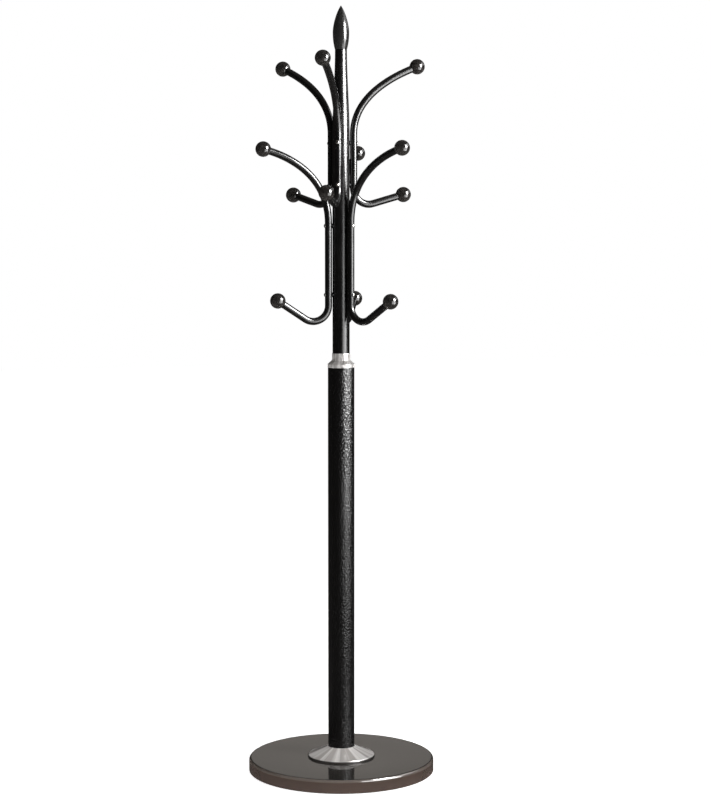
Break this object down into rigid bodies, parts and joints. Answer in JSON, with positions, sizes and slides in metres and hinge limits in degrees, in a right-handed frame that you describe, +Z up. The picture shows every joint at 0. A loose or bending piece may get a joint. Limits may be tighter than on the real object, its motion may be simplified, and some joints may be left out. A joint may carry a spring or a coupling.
{
  "type": "coat rack",
  "caption": "Free-standing coat rack: round weighted base, two-part pole with a chrome collar, and a turning head of bent rods with ball-tipped arms and hooks.",
  "frame": {"origin": "on the floor, on the axis of the pole", "axes": "+Z up along the pole, +X out along one of the three upper rods"},
  "size_m": [0.427, 0.427, 1.75],
  "materials": {
    "base_enamel": "gloss gunmetal enamel",
    "ballast_iron": "raw sand casting",
    "chrome_trim": "polished plate",
    "pole_leather_grain": "satin black with a fine leather grain",
    "head_black_enamel": "gloss black enamel",
    "finial_lacquer": "gloss black lacquer",
    "knob_lacquer": "gloss brown-black",
    "screw_nickel": "nickel plate",
    "zinc_fastener": "zinc plate",
    "nylon_bearing": "natural nylon",
    "foot_rubber": "moulded"
  },
  "bodies": {
    "stand": {"base_cover": "base_enamel", "base_weight": "ballast_iron", "base_bolt": "zinc_fastener", "base_flange": "chrome_trim", "lower_pole": "pole_leather_grain", "pole_foot_plug": "zinc_fastener", "reducer_collar": "chrome_trim", "swivel_bush": "nylon_bearing", "thrust_washer": "nylon_bearing", "foot_pad_1": "foot_rubber", "foot_pad_2": "foot_rubber", "foot_pad_3": "foot_rubber", "foot_pad_4": "foot_rubber"},
    "head": {"upper_pole": "head_black_enamel", "head_plug": "zinc_fastener", "pivot_bolt": "zinc_fastener", "finial": "finial_lacquer", "hook_rod_1": "head_black_enamel", "arm_knob_1": "knob_lacquer", "hook_knob_1": "knob_lacquer", "arm_screw_1": "screw_nickel", "hook_screw_1": "screw_nickel", "arm_rivet_nut_1": "zinc_fastener", "hook_rivet_nut_1": "zinc_fastener", "hook_rod_2": "head_black_enamel", "arm_knob_2": "knob_lacquer", "hook_knob_2": "knob_lacquer", "arm_screw_2": "screw_nickel", "hook_screw_2": "screw_nickel", "arm_rivet_nut_2": "zinc_fastener", "hook_rivet_nut_2": "zinc_fastener", "hook_rod_3": "head_black_enamel", "arm_knob_3": "knob_lacquer", "hook_knob_3": "knob_lacquer", "arm_screw_3": "screw_nickel", "hook_screw_3": "screw_nickel", "arm_rivet_nut_3": "zinc_fastener", "hook_rivet_nut_3": "zinc_fastener", "hook_rod_4": "head_black_enamel", "arm_knob_4": "knob_lacquer", "hook_knob_4": "knob_lacquer", "arm_screw_4": "screw_nickel", "hook_screw_4": "screw_nickel", "arm_rivet_nut_4": "zinc_fastener", "hook_rivet_nut_4": "zinc_fastener", "hook_rod_5": "head_black_enamel", "arm_knob_5": "knob_lacquer", "hook_knob_5": "knob_lacquer", "arm_screw_5": "screw_nickel", "hook_screw_5": "screw_nickel", "arm_rivet_nut_5": "zinc_fastener", "hook_rivet_nut_5": "zinc_fastener", "hook_rod_6": "head_black_enamel", "arm_knob_6": "knob_lacquer", "hook_knob_6": "knob_lacquer", "arm_screw_6": "screw_nickel", "hook_screw_6": "screw_nickel", "arm_rivet_nut_6": "zinc_fastener", "hook_rivet_nut_6": "zinc_fastener"}
  },
  "joints": [
    {"name": "head_swivel", "type": "hinge", "parent": "stand", "child": "head", "pos_m": [0, 0, 0.84], "axis": [0, 0, 1], "continuous": true}
  ]
}
